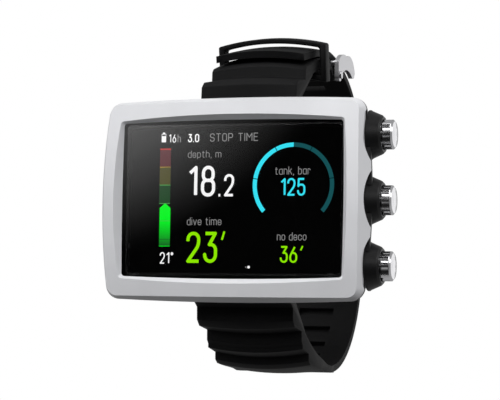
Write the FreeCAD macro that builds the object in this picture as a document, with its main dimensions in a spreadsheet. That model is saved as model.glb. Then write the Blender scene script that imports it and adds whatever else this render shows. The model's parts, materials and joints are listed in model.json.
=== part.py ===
import FreeCAD, Part
import math
import os
import Sketcher

# A wrist dive computer as it comes apart on a bench, in millimetres.
# +X points out of the buttons, +Y goes from the display to the wrist, +Z runs up the strap.
# The origin is the middle of the flat back face that lies on the wrist.

os.makedirs("parts", exist_ok=True)
document = FreeCAD.newDocument("wrist_dive_computer")

# ---------------------------------------------------------------- driving dimensions
SIZES = {
    # case and bezel, measured over the widest rim
    "case_width": 85.6, "case_height": 62.0, "side_curve": 190.0, "end_curve": 850.0,
    "case_corner": 4.5, "rim_plane": -14.5, "flange_thickness": 1.2,
    "case_back_width": 73.6, "case_back_height": 52.0, "case_back_plane": -1.0,
    "land_width": 78.9, "land_height": 57.5, "land_plane": -21.6, "land_corner": 2.4,
    "dome_front": -22.65, "dome_curve_across": 340.0, "dome_curve_along": 142.0,
    "window_width": 70.0, "window_height": 47.9, "window_corner": 1.0,
    "window_curve": 900.0, "window_flare": 4.7,
    # glass and display
    "glass_plane": -17.5, "glass_thickness": 1.8, "glass_overlap": 0.6, "seal_thickness": 0.6,
    "display_width": 58.3, "display_height": 43.8, "display_shift": 4.15,
    "display_thickness": 1.4,
    "cavity_width": 67.6, "cavity_height": 44.6, "cavity_floor": -5.0, "cavity_corner": 1.0,
    "fit_gap": 0.1,
    # back cover
    "cover_width": 57.0, "cover_height": 40.0, "cover_corner": 4.0, "cover_thickness": 2.6,
    "hatch_width": 44.0, "hatch_height": 26.0, "seal_width": 1.2, "seal_margin": 1.3,
    "screw_reach": 25.6, "screw_rise": 17.0, "screw_radius": 0.78, "screw_head": 1.6,
    # buttons
    "button_pitch": 19.6, "button_plane": -8.5, "button_radius": 4.45, "button_end": 48.2,
    "button_travel": 1.2, "stem_radius": 1.2, "stem_end": 31.25,
    "guard_base": 7.25, "guard_face": 41.0, "guard_shoulder": 44.3, "guard_mouth": 44.9,
    "guard_rim": 5.85, "spigot_radius": 4.2, "spigot_end": 38.5,
    # strap
    "strap_width": 31.0, "tongue_width": 29.0, "tongue_thickness": 2.2,
    "pin_plane": -4.8, "pin_rise": 27.2, "barrel_radius": 3.1, "pin_radius": 1.2,
    "top_curve": 64.0, "back_curve": 40.0, "top_centre_y": 35.25, "top_centre_z": -11.2,
    "slot_length": 2.8, "slot_width": 12.4, "slot_pitch": 7.9,
    # buckle and keeper
    "buckle_pin_y": 41.2, "buckle_pin_z": 45.3, "bar_y": 40.5, "bar_z": 49.3,
    "bar_radius": 0.9, "ear_inside": 16.0, "ear_thickness": 1.4, "far_bar_y": 58.0,
    "prong_width": 11.0, "prong_thickness": 0.85,
    "keeper_thickness": 2.0, "keeper_length": 5.0, "keeper_angle": 11.2,
}


class Size:
    """A length that carries its number and the spreadsheet formula behind it."""

    def __init__(self, value, formula):
        self.value = value
        self.formula = formula

    def combine(self, other, sign, operation):
        other = as_size(other)
        return Size(operation(self.value, other.value), f"({self.formula} {sign} {other.formula})")

    def __add__(self, other):
        return self.combine(other, "+", lambda a, b: a + b)

    def __sub__(self, other):
        return self.combine(other, "-", lambda a, b: a - b)

    def __mul__(self, other):
        return self.combine(other, "*", lambda a, b: a * b)

    def __truediv__(self, other):
        return self.combine(other, "/", lambda a, b: a / b)

    def __neg__(self):
        return Size(-self.value, f"(0 - {self.formula})")


def as_size(value):
    return value if isinstance(value, Size) else Size(float(value), f"{float(value)}")


sheet = document.addObject("Spreadsheet::Sheet", "sizes")
for row, (alias, value) in enumerate(SIZES.items(), start=1):
    sheet.set(f"A{row}", alias)
    sheet.set(f"B{row}", str(value))
    sheet.setAlias(f"B{row}", alias)
document.recompute()
size = {alias: Size(value, f"sizes.{alias}") for alias, value in SIZES.items()}


# ---------------------------------------------------------------- drawing helpers
def bind(item, name, value):
    """Set a property from a size, and keep the formula where it reads the sheet."""
    value = as_size(value)
    item.setExpression(name, value.formula)


def new_body(label):
    body = document.addObject("PartDesign::Body", label)
    body.Label = label
    return body


def new_sketch(body, name, role, offset=(0, 0, 0)):
    """A sketch on an origin plane, moved by offset in the plane's own axes.

    XZ_Plane shows X and Z and faces -Y, YZ_Plane shows Y and Z and faces +X,
    XY_Plane shows X and Y and faces +Z.
    """
    sketch = body.newObject("Sketcher::SketchObject", name)
    sketch.AttachmentSupport = [(plane, "") for plane in body.Origin.OriginFeatures
                                if plane.Role == role]
    sketch.MapMode = "FlatFace"
    start = [as_size(value) for value in offset]
    sketch.AttachmentOffset = FreeCAD.Placement(
        FreeCAD.Vector(*[value.value for value in start]), FreeCAD.Rotation())
    for axis, value in zip("xyz", start):
        bind(sketch, f".AttachmentOffset.Base.{axis}", value)
    return sketch


def hold(sketch, geometry, corner, x, y):
    """Fix one point of the sketch at (x, y)."""
    for kind, value in (("DistanceX", as_size(x)), ("DistanceY", as_size(y))):
        index = sketch.addConstraint(
            Sketcher.Constraint(kind, -1, 1, geometry, corner, value.value))
        if "sizes." in value.formula:
            sketch.setExpression(f"Constraints[{index}]", value.formula)


def fix_radius(sketch, geometry, radius):
    index = sketch.addConstraint(Sketcher.Constraint("Radius", geometry, as_size(radius).value))
    if "sizes." in as_size(radius).formula:
        sketch.setExpression(f"Constraints[{index}]", as_size(radius).formula)


def hold_centre(sketch, arc, chord):
    """Fix the one coordinate of an arc's centre that its two end points leave free."""
    centre = sketch.Geometry[arc].Center
    kind, value = ("DistanceY", centre.y) if abs(chord.x) > abs(chord.y) else (
        "DistanceX", centre.x)
    sketch.addConstraint(Sketcher.Constraint(kind, -1, 1, arc, 3, value))


def flat_vector(point):
    return FreeCAD.Vector(as_size(point[0]).value, as_size(point[1]).value, 0)


def draw_path(sketch, steps):
    """Draw a closed outline: a step is a corner, or {"by": point, "to": corner} for an arc."""
    corners = [step["to"] if isinstance(step, dict) else step for step in steps]
    drawn = []
    for index, step in enumerate(steps):
        start, end = flat_vector(corners[index - 1]), flat_vector(corners[index])
        if isinstance(step, dict):
            middle = flat_vector(step["by"])
            line = sketch.addGeometry(Part.Arc(start, middle, end))
            turns_left = (middle - start).cross(end - middle).z > 0
            ends = (1, 2) if turns_left else (2, 1)
            if "radius" in step:
                fix_radius(sketch, line, step["radius"])
            else:
                hold_centre(sketch, line, end - start)
        else:
            line = sketch.addGeometry(Part.LineSegment(start, end))
            ends = (1, 2)
        hold(sketch, line, ends[1], *corners[index])
        drawn.append((line, *ends))
    for before, after in zip(drawn, drawn[1:] + drawn[:1]):
        sketch.addConstraint(
            Sketcher.Constraint("Coincident", before[0], before[2], after[0], after[1]))


def draw_rectangle(sketch, width, height, corner=0, middle=(0, 0)):
    """A rectangle about middle, with round corners when corner isn't zero."""
    width, height, corner = as_size(width), as_size(height), as_size(corner)
    x, y = as_size(middle[0]), as_size(middle[1])
    right, top = x + width / 2, y + height / 2
    left, bottom = x - width / 2, y - height / 2
    if corner.value == 0:
        draw_path(sketch, [(right, bottom), (right, top), (left, top), (left, bottom)])
        return
    slack = corner * (1 - math.sqrt(0.5))
    draw_path(sketch, [
        (right - corner, bottom),
        {"by": (right - slack, bottom + slack), "to": (right, bottom + corner),
         "radius": corner},
        (right, top - corner),
        {"by": (right - slack, top - slack), "to": (right - corner, top), "radius": corner},
        (left + corner, top),
        {"by": (left + slack, top - slack), "to": (left, top - corner), "radius": corner},
        (left, bottom + corner),
        {"by": (left + slack, bottom + slack), "to": (left + corner, bottom),
         "radius": corner},
    ])


def draw_cushion(sketch, width, height, corner, side_curve, end_curve):
    """A rectangle whose four sides bulge as arcs, with round corners tangent to them."""
    half_width, half_height = as_size(width) / 2, as_size(height) / 2
    corner, side_curve, end_curve = as_size(corner), as_size(side_curve), as_size(end_curve)
    side_centre = (half_width - side_curve).value
    end_centre = (half_height - end_curve).value
    side_reach, end_reach = (side_curve - corner).value, (end_curve - corner).value
    # the corner's centre is where the two offset arcs cross
    across = side_centre + side_reach
    for _ in range(30):
        along = end_centre + math.sqrt(end_reach ** 2 - across ** 2)
        across = side_centre + math.sqrt(side_reach ** 2 - along ** 2)
    side_turn = math.atan2(along, across - side_centre)
    end_turn = math.atan2(along - end_centre, across)
    quarter = math.pi / 2
    upward = FreeCAD.Vector(0, 0, 1)
    arcs = []
    for number in range(4):
        reach = (side_centre, side_curve.value) if number % 2 == 0 else (
            end_centre, end_curve.value)
        turn = number * quarter
        centre = FreeCAD.Vector(math.cos(turn), math.sin(turn), 0) * reach[0]
        spread = side_turn if number % 2 == 0 else quarter - end_turn
        circle = Part.Circle(centre, upward, reach[1])
        arcs.append(sketch.addGeometry(Part.ArcOfCircle(circle, turn - spread, turn + spread)))
        signs = [(1, 1), (-1, 1), (-1, -1), (1, -1)][number]
        circle = Part.Circle(
            FreeCAD.Vector(across * signs[0], along * signs[1], 0), upward, corner.value)
        angles = [(side_turn, end_turn), (math.pi - end_turn, math.pi - side_turn),
                  (math.pi + side_turn, math.pi + end_turn), (-end_turn, -side_turn)][number]
        arcs.append(sketch.addGeometry(Part.ArcOfCircle(circle, *angles)))
    for index, arc in enumerate(arcs):
        following = arcs[(index + 1) % len(arcs)]
        sketch.addConstraint(Sketcher.Constraint("Tangent", arc, 2, following, 1))
    for index, (x_sign, y_sign) in enumerate([(1, 0), (0, 1), (-1, 0), (0, -1)]):
        x = (half_width - side_curve) * x_sign if x_sign else 0
        y = (half_height - end_curve) * y_sign if y_sign else 0
        hold(sketch, arcs[2 * index], 3, x, y)
        fix_radius(sketch, arcs[2 * index], side_curve if x_sign else end_curve)
        fix_radius(sketch, arcs[2 * index + 1], corner)


def pad(body, sketch, length, name="pad", both_sides=False, backwards=False):
    feature = body.newObject("PartDesign::Pad", name)
    feature.Profile = sketch
    feature.Midplane = both_sides
    feature.Reversed = backwards
    bind(feature, "Length", length)
    return feature


def pocket(body, sketch, length, name="pocket", both_sides=False, forwards=False):
    """Cut away behind the sketch, or in front of it when forwards."""
    feature = body.newObject("PartDesign::Pocket", name)
    feature.Profile = sketch
    feature.Midplane = both_sides
    feature.Reversed = forwards
    bind(feature, "Length", length)
    return feature


def spin(body, sketch, name="turned", cut=False):
    """Turn the sketch about its own horizontal axis, to add or to cut."""
    feature = body.newObject("PartDesign::Groove" if cut else "PartDesign::Revolution", name)
    feature.Profile = sketch
    feature.ReferenceAxis = (sketch, ["H_Axis"])
    feature.Angle = 360
    return feature


def loft(body, sketches, name, cut=False):
    kind = "PartDesign::SubtractiveLoft" if cut else "PartDesign::AdditiveLoft"
    feature = body.newObject(kind, name)
    feature.Profile = sketches[0]
    feature.Sections = sketches[1:]
    return feature


def repeat_up(body, feature, pitch, count, name):
    """Repeat a feature up the Z axis."""
    pattern = body.newObject("PartDesign::LinearPattern", name)
    pattern.Originals = [feature]
    axis = [line for line in body.Origin.OriginFeatures if line.Role == "Z_Axis"][0]
    pattern.Direction = (axis, [""])
    pattern.Occurrences = count
    bind(pattern, "Length", as_size(pitch) * (count - 1))
    body.Tip = pattern
    return pattern


def front(plane):
    """The offset of a sketch on XZ_Plane that lies at this Y."""
    return 0, 0, -as_size(plane)


def plate(label, outline, front_plane, thickness):
    """A flat piece whose outline is drawn by outline(sketch) and runs back from front_plane."""
    body = new_body(label)
    sketch = new_sketch(body, f"{label}_outline", "XZ_Plane", front(front_plane))
    outline(sketch)
    pad(body, sketch, thickness, f"{label}_pad", backwards=True)
    return body


def back_hole(body, name, outline, front_plane, depth):
    """Cut from front_plane towards the wrist."""
    sketch = new_sketch(body, f"{name}_outline", "XZ_Plane", front(front_plane))
    outline(sketch)
    return pocket(body, sketch, depth, name)


def circles(spots, radius):
    """An outline of equal circles at the spots."""
    def draw(sketch):
        for spot in spots:
            circle = sketch.addGeometry(
                Part.Circle(flat_vector(spot), FreeCAD.Vector(0, 0, 1), as_size(radius).value))
            hold(sketch, circle, 3, *spot)
            fix_radius(sketch, circle, radius)
    return draw


# ---------------------------------------------------------------- places worked out once
cover_spots = [(size["screw_reach"] * x, size["screw_rise"] * z)
               for x, z in ((-1, -1), (-1, 1), (1, -1), (1, 1))]
contact_spots = [(31.8, rise) for rise in (-4.5, -1.5, 1.5, 4.5)]
button_axis = -size["button_pitch"]
crystal_width = size["window_width"] + size["glass_overlap"] * 2
crystal_height = size["window_height"] + size["glass_overlap"] * 2
glass_back = size["glass_plane"] + size["glass_thickness"]
ledge_plane = glass_back + size["seal_thickness"]
collar_width, collar_height = crystal_width + 2.8, crystal_height + 2.7


def cushion(width, height, corner, side_curve="window_curve", end_curve="window_curve"):
    def draw(sketch):
        draw_cushion(sketch, width, height, corner, size[side_curve], size[end_curve])
    return draw


def box(width, height, corner=0, middle=(0, 0)):
    def draw(sketch):
        draw_rectangle(sketch, width, height, corner, middle)
    return draw


# ---------------------------------------------------------------- bezel and glass
def make_bezel():
    """The white surround: a flared ring with a domed face, cut away around the buttons."""
    body = new_body("bezel")
    rim = new_sketch(body, "bezel_rim", "XZ_Plane", front(size["rim_plane"]))
    draw_cushion(rim, size["case_width"], size["case_height"], size["case_corner"],
                 size["side_curve"], size["end_curve"])
    land = new_sketch(body, "bezel_land", "XZ_Plane", front(size["land_plane"]))
    draw_cushion(land, size["land_width"], size["land_height"], size["land_corner"],
                 size["side_curve"], size["end_curve"])
    loft(body, [rim, land], "bezel_block")

    seat = new_sketch(body, "bezel_seat_outline", "XZ_Plane", front(size["rim_plane"]))
    cushion(collar_width + size["fit_gap"] * 2, collar_height + size["fit_gap"] * 2, 2.1)(seat)
    pocket(body, seat, size["rim_plane"] - size["glass_plane"] + 0.02, "bezel_seat",
           forwards=True)

    inner = new_sketch(body, "window_edge", "XZ_Plane", front(size["rim_plane"]))
    cushion(size["window_width"], size["window_height"], size["window_corner"])(inner)
    pocket(body, inner, 12, "bezel_window", forwards=True)
    deep = new_sketch(body, "window_foot", "XZ_Plane", front(size["glass_plane"] - 0.02))
    cushion(size["window_width"], size["window_height"], size["window_corner"])(deep)
    wide = new_sketch(body, "window_mouth", "XZ_Plane", front(size["land_plane"] - 0.2))
    cushion(size["window_width"] + size["window_flare"],
            size["window_height"] + size["window_flare"] * 0.93, size["window_corner"])(wide)
    loft(body, [deep, wide], "window_bevel", cut=True)

    # the domed face is cut by turning an arc about an upright axis far behind the case
    dome = new_sketch(body, "dome_profile", "YZ_Plane",
                      (size["dome_front"] + size["dome_curve_across"], 0, 0))
    back = -size["dome_curve_across"]
    reach = 34.0
    sag = size["dome_curve_along"].value - math.sqrt(
        size["dome_curve_along"].value ** 2 - reach ** 2)
    draw_path(dome, [(back - 6, -reach), (back + sag, -reach),
                     {"by": (back, 0), "to": (back + sag, reach)}, (back - 6, reach)])
    cut = body.newObject("PartDesign::Groove", "domed_face")
    cut.Profile = dome
    cut.ReferenceAxis = (dome, ["V_Axis"])
    cut.Midplane = True
    cut.Angle = 20

    scallop = new_sketch(body, "scallop_profile", "XY_Plane",
                         (0, size["button_plane"], button_axis))
    draw_path(scallop, [(40.6, 0), (40.6, 9.05), (44.6, 11.7), (44.6, 0)])
    repeat_up(body, spin(body, scallop, "scallop", cut=True), size["button_pitch"], 3,
              "scallops")
    return body


def make_glass():
    plate("crystal", cushion(crystal_width, crystal_height, 1.4), size["glass_plane"],
          size["glass_thickness"])
    seal = plate("crystal_seal", cushion(crystal_width - 0.4, crystal_height - 0.4, 1.3),
                 glass_back, size["seal_thickness"])
    back_hole(seal, "seal_opening", box(68.2, 45.8, 1.0), glass_back - 1, 3)


# ---------------------------------------------------------------- case
def make_case():
    """The black case: flange, tapered tub, collar for the glass, button bosses, strap lugs."""
    body = new_body("case_body")
    flange = new_sketch(body, "flange_outline", "XZ_Plane", front(size["rim_plane"]))
    draw_cushion(flange, size["case_width"], size["case_height"], size["case_corner"],
                 size["side_curve"], size["end_curve"])
    pad(body, flange, size["flange_thickness"], "flange", backwards=True)
    tub_plane = size["rim_plane"] + size["flange_thickness"]
    tub_front = new_sketch(body, "tub_front", "XZ_Plane", front(tub_plane))
    draw_cushion(tub_front, size["case_width"] - 1.4, size["case_height"] - 1.0,
                 size["case_corner"], size["side_curve"], size["end_curve"])
    tub_back = new_sketch(body, "tub_back", "XZ_Plane", front(size["case_back_plane"]))
    draw_cushion(tub_back, size["case_back_width"], size["case_back_height"],
                 size["case_corner"] + 1.5, size["side_curve"], size["end_curve"])
    loft(body, [tub_front, tub_back], "tub")
    collar = new_sketch(body, "collar_outline", "XZ_Plane", front(size["rim_plane"]))
    cushion(collar_width, collar_height, 2.0)(collar)
    pad(body, collar, size["rim_plane"] - size["glass_plane"], "glass_collar")

    boss = new_sketch(body, "boss_profile", "XY_Plane", (0, size["button_plane"], button_axis))
    draw_path(boss, [(35.0, 0), (35.0, 5.9), (40.65, 5.9), (40.65, 7.4),
                     (size["guard_face"], 7.4), (size["guard_face"], 0)])
    repeat_up(body, spin(body, boss, "button_boss"), size["button_pitch"], 3, "button_bosses")

    for end_name, up in (("top", 1), ("bottom", -1)):
        for side_name, side in (("left", -1), ("right", 1)):
            lug = new_sketch(body, f"lug_{end_name}_{side_name}", "YZ_Plane",
                             (size["pin_plane"], size["pin_rise"] * up, side * 17.9))
            draw_path(lug, [(-3.0, 0), {"by": (0, 3.0 * up), "to": (3.0, 0)},
                            (3.0, -7.0 * up), (-3.0, -7.0 * up)])
            pad(body, lug, 4.0, f"lug_{end_name}_{side_name}_pad", both_sides=True)
        # the strap's eye sits in a recess that is open at the back and at the end
        recess = new_sketch(body, f"recess_{end_name}", "YZ_Plane", (-8.25, 23.85 * up, 0))
        draw_path(recess, [(0, 0), (12, 0), (12, 12 * up), (0, 12 * up)])
        pocket(body, recess, 31.8, f"recess_{end_name}_cut", both_sides=True)
        for side_name, side in (("left", -1), ("right", 1)):
            eye = new_sketch(body, f"eye_{end_name}_{side_name}", "YZ_Plane",
                             (size["pin_plane"], size["pin_rise"] * up, side * 17.0))
            circles([(0, 0)], 0.65)(eye)
            pocket(body, eye, 2.6, f"eye_{end_name}_{side_name}_hole", both_sides=True)

    back_hole(body, "glass_pocket", cushion(crystal_width + 0.3, crystal_height + 0.3, 1.5),
              size["glass_plane"] - 1, ledge_plane - size["glass_plane"] + 1)
    back_hole(body, "cavity", box(size["cavity_width"], size["cavity_height"],
                                  size["cavity_corner"]),
              size["glass_plane"] - 1, size["cavity_floor"] - size["glass_plane"] + 1)
    back_hole(body, "battery_hatch", box(size["hatch_width"], size["hatch_height"], 3.0),
              size["cavity_floor"] - 1, 8)
    cover_floor = -size["cover_thickness"]
    back_hole(body, "cover_recess", box(size["cover_width"] + 0.4, size["cover_height"] + 0.4,
                                        size["cover_corner"] + 0.2), cover_floor, 5)
    groove = new_sketch(body, "seal_groove_outline", "XZ_Plane", front(cover_floor - 0.8))
    groove_inner = size["seal_margin"] * 2 - 0.2
    groove_outer = groove_inner + size["seal_width"] * 2 + 0.4
    draw_rectangle(groove, size["hatch_width"] + groove_outer,
                   size["hatch_height"] + groove_outer, 4.6)
    draw_rectangle(groove, size["hatch_width"] + groove_inner,
                   size["hatch_height"] + groove_inner, 3.4)
    pocket(body, groove, 0.9, "seal_groove")
    back_hole(body, "screw_holes", circles(cover_spots, size["screw_radius"] + 0.02),
              cover_floor - 2.0, 3)
    back_hole(body, "sensor_bore", circles([(-31.8, 0)], 1.95), size["cavity_floor"] - 1, 6)
    back_hole(body, "sensor_mouth", circles([(-31.8, 0)], 2.6), -2.0, 3)
    back_hole(body, "contact_bores", circles(contact_spots, 0.82), size["cavity_floor"] - 1, 6)

    bore = new_sketch(body, "bore_profile", "XY_Plane", (0, size["button_plane"], button_axis))
    spigot, spigot_bore = size["spigot_end"] - 0.05, size["spigot_radius"] + 0.05
    draw_path(bore, [(33.0, 0), (33.0, 1.35), (spigot, 1.35), (spigot, spigot_bore),
                     (size["guard_face"], spigot_bore),
                     (size["guard_face"], size["guard_base"] + 0.1),
                     (44.5, size["guard_base"] + 0.1), (44.5, 0)])
    repeat_up(body, spin(body, bore, "button_bore", cut=True), size["button_pitch"], 3,
              "button_bores")
    return body


def make_back():
    """The battery cover with its seal and screws, and what shows in the case back."""
    cover_floor = -size["cover_thickness"]
    cover = plate("back_cover", box(size["cover_width"], size["cover_height"],
                                    size["cover_corner"]), cover_floor, size["cover_thickness"])
    back_hole(cover, "cover_screw_holes", circles(cover_spots, 1.0), cover_floor - 1, 5)
    back_hole(cover, "cover_head_seats", circles(cover_spots, size["screw_head"] + 0.1), -1.3, 2)
    seal = plate("back_cover_seal",
                 box(size["hatch_width"] + size["seal_margin"] * 2 + size["seal_width"] * 2,
                     size["hatch_height"] + size["seal_margin"] * 2 + size["seal_width"] * 2,
                     4.5), cover_floor - 0.75, 0.75)
    back_hole(seal, "cover_seal_opening",
              box(size["hatch_width"] + size["seal_margin"] * 2,
                  size["hatch_height"] + size["seal_margin"] * 2, 3.5), cover_floor - 2, 3)

    screws = new_body("back_cover_screws")
    shank = new_sketch(screws, "shank_outline", "XZ_Plane", front(-4.4))
    circles(cover_spots, size["screw_radius"])(shank)
    pad(screws, shank, 3.1, "shanks", backwards=True)
    head = new_sketch(screws, "head_outline", "XZ_Plane", front(-1.3))
    circles(cover_spots, size["screw_head"])(head)
    pad(screws, head, 1.0, "heads", backwards=True)
    back_hole(screws, "drive_slots", square_drives(cover_spots), -0.9, 2)

    plate("depth_sensor", circles([(-31.8, 0)], 1.9), -7.0, 4.9)
    grille = plate("sensor_grille", circles([(-31.8, 0)], 2.5), -1.95, 0.95)
    ring = [(0.0, 0.0)] + [(1.45 * math.cos(turn * math.pi / 3), 1.45 * math.sin(turn * math.pi / 3))
                           for turn in range(6)]
    back_hole(grille, "grille_holes", circles([(-31.8 + x, z) for x, z in ring], 0.4), -3, 4)
    plate("charging_contacts", circles(contact_spots, 0.8), -6.2, 5.15)
    block = plate("contact_block", box(3.2, 12.6, 0.5, (31.8, 0)), -6.1, 1.05)
    back_hole(block, "block_holes", circles(contact_spots, 0.82), -7, 3)


def square_drives(spots):
    """A square drive hole at each spot."""
    def draw(sketch):
        for spot in spots:
            draw_rectangle(sketch, 1.3, 1.3, 0, spot)
    return draw


# ---------------------------------------------------------------- inside the case
def make_inside():
    shift = (size["display_shift"], 0)
    plate("display_panel", box(size["display_width"], size["display_height"], 0.6, shift),
          -15.5, size["display_thickness"])
    chassis = plate("display_chassis", box(66.6, 43.8, 1.5), -14.0, 1.0)
    legs = [(x, z) for x in (-31.0, 24.5) for z in (-19.6, 19.6)]
    leg_sketch = new_sketch(chassis, "chassis_leg_outline", "XZ_Plane", front(-13.0))
    circles(legs, 1.4)(leg_sketch)
    pad(chassis, leg_sketch, 1.55, "chassis_legs", backwards=True)
    plate("main_board", box(59.4, 42.8, 1.0, (-3.3, 0)), -11.4, 1.0)
    chips = new_body("board_components")
    chip_sketch = new_sketch(chips, "chip_outlines", "XZ_Plane", front(-12.6))
    for width, height, x, z in ((9, 9, -8, 6), (6, 6, 6, 8), (12, 5, 12, -8), (5, 8, -22, -6),
                                (4, 3, -20, 12), (3, 3, 18, 3)):
        draw_rectangle(chip_sketch, width, height, 0, (x, z))
    pad(chips, chip_sketch, 1.15, "chips", backwards=True)
    plate("battery", box(41.0, 23.6, 2.0), -9.9, 5.7)
    plate("battery_foam", box(38.0, 20.0, 2.0), -4.1, 1.4)
    plate("buzzer", circles([(-27.5, -13.0)], 5.0), -8.6, 3.2)

    antenna = new_body("wireless_antenna")
    rod = new_sketch(antenna, "antenna_profile", "XY_Plane", (0, -7.6, 17.2))
    draw_path(rod, [(-18, 0), (-18, 1.2), (-14, 1.2), (-14, 1.9), (10, 1.9), (10, 1.2),
                    (14, 1.2), (14, 0)])
    spin(antenna, rod, "antenna_rod")

    plate("switch_board", box(0.8, 43.0, 0, (27.4, 0)), -12.6, 7.4)
    switches = new_body("button_switches")
    for number in (-1, 0, 1):
        rise = size["button_pitch"] * number
        shell = new_sketch(switches, f"switch_shell_{number + 2}", "YZ_Plane",
                           (size["button_plane"], rise, 27.85))
        draw_rectangle(shell, 4.4, 4.4)
        pad(switches, shell, 1.45, f"switch_shell_pad_{number + 2}")
        plunger = new_sketch(switches, f"switch_plunger_{number + 2}", "YZ_Plane",
                             (size["button_plane"], rise, 29.3))
        circles([(0, 0)], 1.0)(plunger)
        pad(switches, plunger, 0.7, f"switch_plunger_pad_{number + 2}")


# ---------------------------------------------------------------- buttons
def turned(label, rise, profile):
    """A round piece on a button's axis, from (x, radius) steps."""
    body = new_body(label)
    sketch = new_sketch(body, f"{label}_profile", "XY_Plane", (0, size["button_plane"], rise))
    draw_path(sketch, profile)
    spin(body, sketch, f"{label}_turned")
    return body


def make_button(where, number):
    """One push button: guard, cap with its stem, shaft seal, retaining clip and spring."""
    rise = size["button_pitch"] * number
    radius, stem = size["button_radius"], size["stem_radius"]
    recess_floor, recess_clearance = 42.4, 0.1
    turned(f"button_guard_{where}", rise, [
        (size["spigot_end"], 2.12), (size["spigot_end"], size["spigot_radius"]),
        (size["guard_face"] + 0.05, size["spigot_radius"]),
        (size["guard_face"] + 0.05, size["guard_base"]),
        (size["guard_shoulder"], size["guard_rim"]), (size["guard_mouth"], size["guard_rim"] - 0.6),
        (size["guard_mouth"], radius + 0.15), (recess_floor, radius + 0.15),
        (recess_floor, 3.0), (39.9, 3.0),
        (39.9, stem + 0.1), (39.4, stem + 0.1), (39.4, 2.12)])
    # pressed right in, the cap stops just short of the recess floor
    cap_back = size["button_travel"] + recess_floor + recess_clearance
    flute_count, flute_radius, flute_depth = 8, 2.4, 0.5
    end = size["button_end"]
    cap = turned(f"button_{where}", rise, [
        (size["stem_end"], 0), (size["stem_end"], stem), (cap_back, stem), (cap_back, radius),
        (end - 0.5, radius), (end, radius - 0.55),
        (end + 0.3, 1.95), (end + 0.4, 0)])
    flute = new_sketch(cap, f"flute_outline_{where}", "YZ_Plane",
                       (size["button_plane"], rise, end - 0.7))
    # the first flute is half a step round, so that it doesn't cut the turned seam
    half_step = math.pi / flute_count
    reach = radius + flute_radius - flute_depth
    circles([(reach * math.cos(half_step), reach * math.sin(half_step))], flute_radius)(flute)
    cut = pocket(cap, flute, 3.2, f"flute_{where}")
    around = cap.newObject("PartDesign::PolarPattern", f"flutes_{where}")
    around.Originals = [cut]
    around.Axis = (flute, ["N_Axis"])
    around.Angle = 360
    around.Occurrences = flute_count
    cap.Tip = around
    turned(f"button_clip_{where}", rise, [(33.15, stem + 0.02), (33.65, stem + 0.02),
                                          (33.65, 1.95), (33.15, 1.95)])

    seal = document.addObject("Part::Torus", f"button_seal_{where}")
    seal.Label = f"button_seal_{where}"
    seal.Radius1, seal.Radius2 = 1.66, 0.42
    place(seal, (38.95, size["button_plane"], rise), FreeCAD.Rotation(FreeCAD.Vector(0, 1, 0), 90))

    coil = document.addObject("Part::Helix", f"coil_line_{where}")
    coil.Pitch, coil.Height, coil.Radius = 0.85, 3.0, 2.3
    coil.SegmentLength = 0.5    # half turns, so that the swept faces stay smooth
    wire = document.addObject("Part::Circle", f"coil_wire_{where}")
    wire.Radius = 0.22
    wire.Placement = FreeCAD.Placement(
        FreeCAD.Vector(2.3, 0, 0), FreeCAD.Rotation(FreeCAD.Vector(1, 0, 0), 90))
    spring = document.addObject("Part::Sweep", f"button_spring_{where}")
    spring.Label = f"button_spring_{where}"
    document.recompute()
    half_turns = [f"Edge{turn + 1}" for turn in range(len(coil.Shape.Edges))]
    spring.Sections, spring.Spine = [wire], (coil, half_turns)
    spring.Solid, spring.Frenet = True, True
    place(spring, (40.3, size["button_plane"], rise), FreeCAD.Rotation(FreeCAD.Vector(0, 1, 0), 90))


def place(item, position, rotation=FreeCAD.Rotation()):
    """Put an object at a position whose parts may read the sheet."""
    spots = [as_size(value) for value in position]
    item.Placement = FreeCAD.Placement(
        FreeCAD.Vector(*[spot.value for spot in spots]), rotation)
    for axis, spot in zip("xyz", spots):
        bind(item, f".Placement.Base.{axis}", spot)


# ---------------------------------------------------------------- strap
def ring_point(radius, degrees, centre=None):
    """A point (y, z) on the strap's top curve, degrees round from straight up."""
    centre = centre or (size["top_centre_y"].value, size["top_centre_z"].value)
    turn = math.radians(degrees)
    return centre[0] + radius * math.sin(turn), centre[1] + radius * math.cos(turn)


TURN = 25.0                       # where the flat top curve meets the tighter back curve
upper_back = ring_point(size["top_curve"].value - size["back_curve"].value, TURN)
lower_back = (upper_back[0], -12.5)
BEND = math.degrees(math.asin((20.0 - size["top_centre_y"].value) / size["top_curve"].value))
TIP_LENGTH = 12.4                 # the straight end of the tongue, past the keeper


def along_strap(distance, depth):
    """A point at a distance from the low end of the back curve, and the strap's direction.

    The path runs back round the wrist and over the top; depth is measured inwards.
    """
    back = size["back_curve"].value - depth
    middle = size["back_curve"].value - size["tongue_thickness"].value / 2
    top = size["top_curve"].value - depth
    top_middle = size["top_curve"].value - size["tongue_thickness"].value / 2
    quarter = middle * math.pi / 2
    straight = upper_back[1] - lower_back[1]
    turn_length = middle * math.radians(90 - TURN)
    if distance < quarter:
        turn = 180 - math.degrees(distance / middle)
        return ring_point(back, turn, lower_back), turn - 90
    distance -= quarter
    if distance < straight:
        return (lower_back[0] + back, lower_back[1] + distance), 0
    distance -= straight
    if distance < turn_length:
        turn = 90 - math.degrees(distance / middle)
        return ring_point(back, turn, upper_back), turn - 90
    distance -= turn_length
    turn = TURN - math.degrees(distance / top_middle)
    if turn > BEND:
        return ring_point(top, turn), turn - 90
    distance -= top_middle * math.radians(TURN - BEND)
    start = ring_point(top, BEND)
    slope = math.radians(BEND)
    return (start[0] - distance * math.cos(slope), start[1] + distance * math.sin(slope)), BEND - 90


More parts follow.
